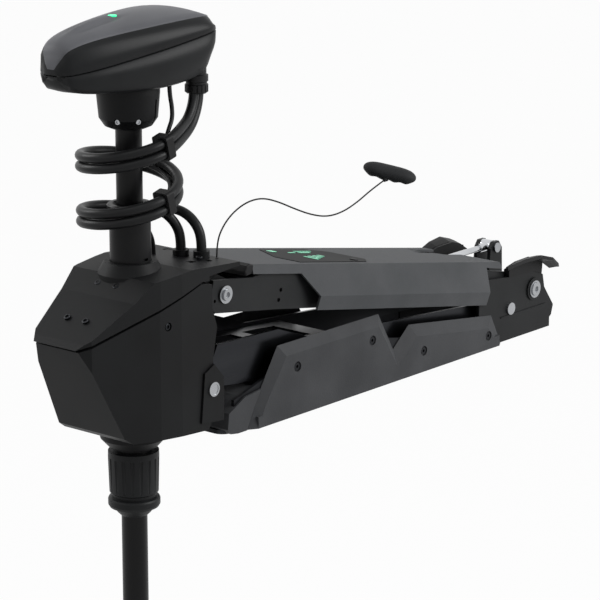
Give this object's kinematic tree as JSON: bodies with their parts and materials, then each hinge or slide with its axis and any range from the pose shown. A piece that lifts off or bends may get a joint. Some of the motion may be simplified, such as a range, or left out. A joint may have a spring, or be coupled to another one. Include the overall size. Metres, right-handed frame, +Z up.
{
  "type": "trolling motor",
  "caption": "Bow-mount electric trolling motor, deployed: black folding mount, steering housing with coiled cables, long shaft, drive pod and propeller.",
  "frame": {"origin": "centre of the deck plate's underside", "axes": "-X to the bow, where the shaft stands; +X to the stern, where the arm is hinged; +Z up"},
  "size_m": [0.903, 0.172, 1.653],
  "materials": {
    "base_aluminium": "satin",
    "base_plastic": "matte",
    "steel_fittings": "satin",
    "bracket_metal": "satin",
    "cradle_rubber": "matte",
    "arm_plastic": "matte",
    "display_gloss": "gloss",
    "circuit_board": "satin",
    "arm_metal": "satin",
    "bush_brass": "satin",
    "button_plastic": "satin",
    "link_aluminium": "satin",
    "spring_steel": "polished",
    "spring_paint": "satin",
    "housing_plastic": "matte",
    "bearing_steel": "polished",
    "seal_rubber": "matte",
    "motor_steel": "satin",
    "gear_steel": "satin",
    "hook_steel": "satin",
    "tube_plastic": "satin",
    "clip_plastic": "matte",
    "cable_sheath": "satin",
    "pull_rope": "matte",
    "handle_plastic": "matte",
    "collar_plastic": "satin",
    "shaft_composite": "satin",
    "neck_plastic": "satin",
    "head_plastic": "satin",
    "head_top_plastic": "satin",
    "light_lens": "gloss",
    "gland_plastic": "satin",
    "pod_paint": "satin",
    "propeller_plastic": "satin"
  },
  "bodies": {
    "base": {"deck_plate": "base_aluminium", "base_rails": "base_aluminium", "base_cover_left": "base_plastic", "base_cover_right": "base_plastic", "base_cover_screws": "steel_fittings", "rear_brackets": "bracket_metal", "cradle_wings": "cradle_rubber", "base_pins": "steel_fittings", "spring_bracket": "bracket_metal", "front_rest": "base_plastic", "latch_striker": "steel_fittings"},
    "arm": {"arm_cover": "arm_plastic", "display_panel": "display_gloss", "display_board": "circuit_board", "arm_plates": "arm_metal", "arm_tie_tubes": "arm_metal", "arm_bushes": "bush_brass", "arm_end_rubber": "cradle_rubber"},
    "power_button_body": {"power_button": "button_plastic"},
    "lower_link_body": {"lower_link": "link_aluminium"},
    "spring_rod_body": {"spring_rod": "spring_steel"},
    "spring_cylinder_body": {"spring_cylinder": "spring_paint"},
    "steering_housing": {"housing_shell": "housing_plastic", "housing_cover": "housing_plastic", "front_pivot_bolts": "steel_fittings", "link_front_pins": "steel_fittings", "steering_bearings": "bearing_steel", "lower_seal": "seal_rubber", "steering_motor": "motor_steel", "steering_board": "circuit_board", "power_cable_a_lower": "cable_sheath", "power_cable_b_lower": "cable_sheath", "sensor_cable_lower": "cable_sheath", "pull_cord": "pull_rope", "pull_handle": "handle_plastic"},
    "motor_pinion": {"steering_pinion": "gear_steel"},
    "latch": {"latch_hook": "hook_steel"},
    "steering_sleeve": {"steering_tube": "tube_plastic", "ring_gear": "gear_steel", "collet": "tube_plastic", "power_cable_a_upper": "cable_sheath", "power_cable_b_upper": "cable_sheath", "sensor_cable_upper": "cable_sheath", "cable_clips": "clip_plastic"},
    "depth_nut": {"depth_collar": "collar_plastic"},
    "shaft_and_pod": {"shaft": "shaft_composite", "neck": "neck_plastic", "head_lower_shell": "head_plastic", "head_upper_shell": "head_plastic", "head_top_plate": "head_top_plastic", "head_light": "light_lens", "head_board": "circuit_board", "cable_gland": "gland_plastic", "pod_case": "pod_paint", "pod_nose": "pod_paint", "stator": "motor_steel", "pod_bearings": "bearing_steel"},
    "propeller_body": {"rotor": "motor_steel", "propeller": "propeller_plastic", "prop_nut": "steel_fittings"}
  },
  "joints": [
    {"name": "arm_fold", "type": "hinge", "parent": "base", "child": "arm", "pos_m": [0.262, 0, 0.058], "axis": [0, 1, 0], "range_deg": [0, 150]},
    {"name": "housing_pivot", "type": "hinge", "parent": "arm", "child": "steering_housing", "pos_m": [-0.34, 0, 0.1675], "axis": [0, 1, 0], "range_deg": [-60, 0]},
    {"name": "lower_link_pivot", "type": "hinge", "parent": "base", "child": "lower_link_body", "pos_m": [0.21, 0, 0.0418], "axis": [0, 1, 0], "range_deg": [0, 154]},
    {"name": "spring_rod_pivot", "type": "hinge", "parent": "base", "child": "spring_rod_body", "pos_m": [0.284, 0, 0.098], "axis": [0, 1, 0], "range_deg": [0, 165]},
    {"name": "spring_stroke", "type": "slide", "parent": "spring_rod_body", "child": "spring_cylinder_body", "axis": [-1, 0, 0], "range_m": [-0.062, 0]},
    {"name": "power_button_press", "type": "slide", "parent": "arm", "child": "power_button_body", "axis": [-0.179, 0, -0.9839], "range_m": [0, 0.0015], "stiffness_N_per_m": 400},
    {"name": "latch_turn", "type": "hinge", "parent": "steering_housing", "child": "latch", "pos_m": [-0.382, 0, 0.06], "axis": [0, 1, 0], "range_deg": [-25, 0], "stiffness_Nm_per_rad": 0.08},
    {"name": "steering", "type": "hinge", "parent": "steering_housing", "child": "steering_sleeve", "pos_m": [-0.432, 0, 0], "axis": [0, 0, 1], "range_deg": [-180, 180], "deforming": ["power_cable_a_lower", "power_cable_b_lower", "sensor_cable_lower"]},
    {"name": "pinion_spin", "type": "hinge", "parent": "steering_housing", "child": "motor_pinion", "pos_m": [-0.477, 0, 0], "axis": [0, 0, 1], "range_deg": [-720, 720]},
    {"name": "depth_nut_turn", "type": "hinge", "parent": "steering_sleeve", "child": "depth_nut", "pos_m": [-0.432, 0, 0], "axis": [0, 0, 1], "range_deg": [0, 90]},
    {"name": "depth_travel", "type": "slide", "parent": "steering_sleeve", "child": "shaft_and_pod", "axis": [0, 0, 1], "range_m": [0, 0.3], "deforming": ["power_cable_a_upper", "power_cable_b_upper", "sensor_cable_upper"]},
    {"name": "propeller_spin", "type": "hinge", "parent": "shaft_and_pod", "child": "propeller_body", "pos_m": [-0.432, 0, -1.028], "axis": [1, 0, 0], "continuous": true}
  ],
  "couplings": [
    {"joint": "housing_pivot", "follows": "arm_fold", "ratio": -0.4},
    {"joint": "lower_link_pivot", "follows": "arm_fold", "ratio": 1.02},
    {"joint": "spring_rod_pivot", "follows": "arm_fold", "ratio": 1.09},
    {"joint": "spring_stroke", "follows": "arm_fold", "m_per_rad": -0.022918},
    {"joint": "pinion_spin", "follows": "steering", "ratio": -4}
  ]
}
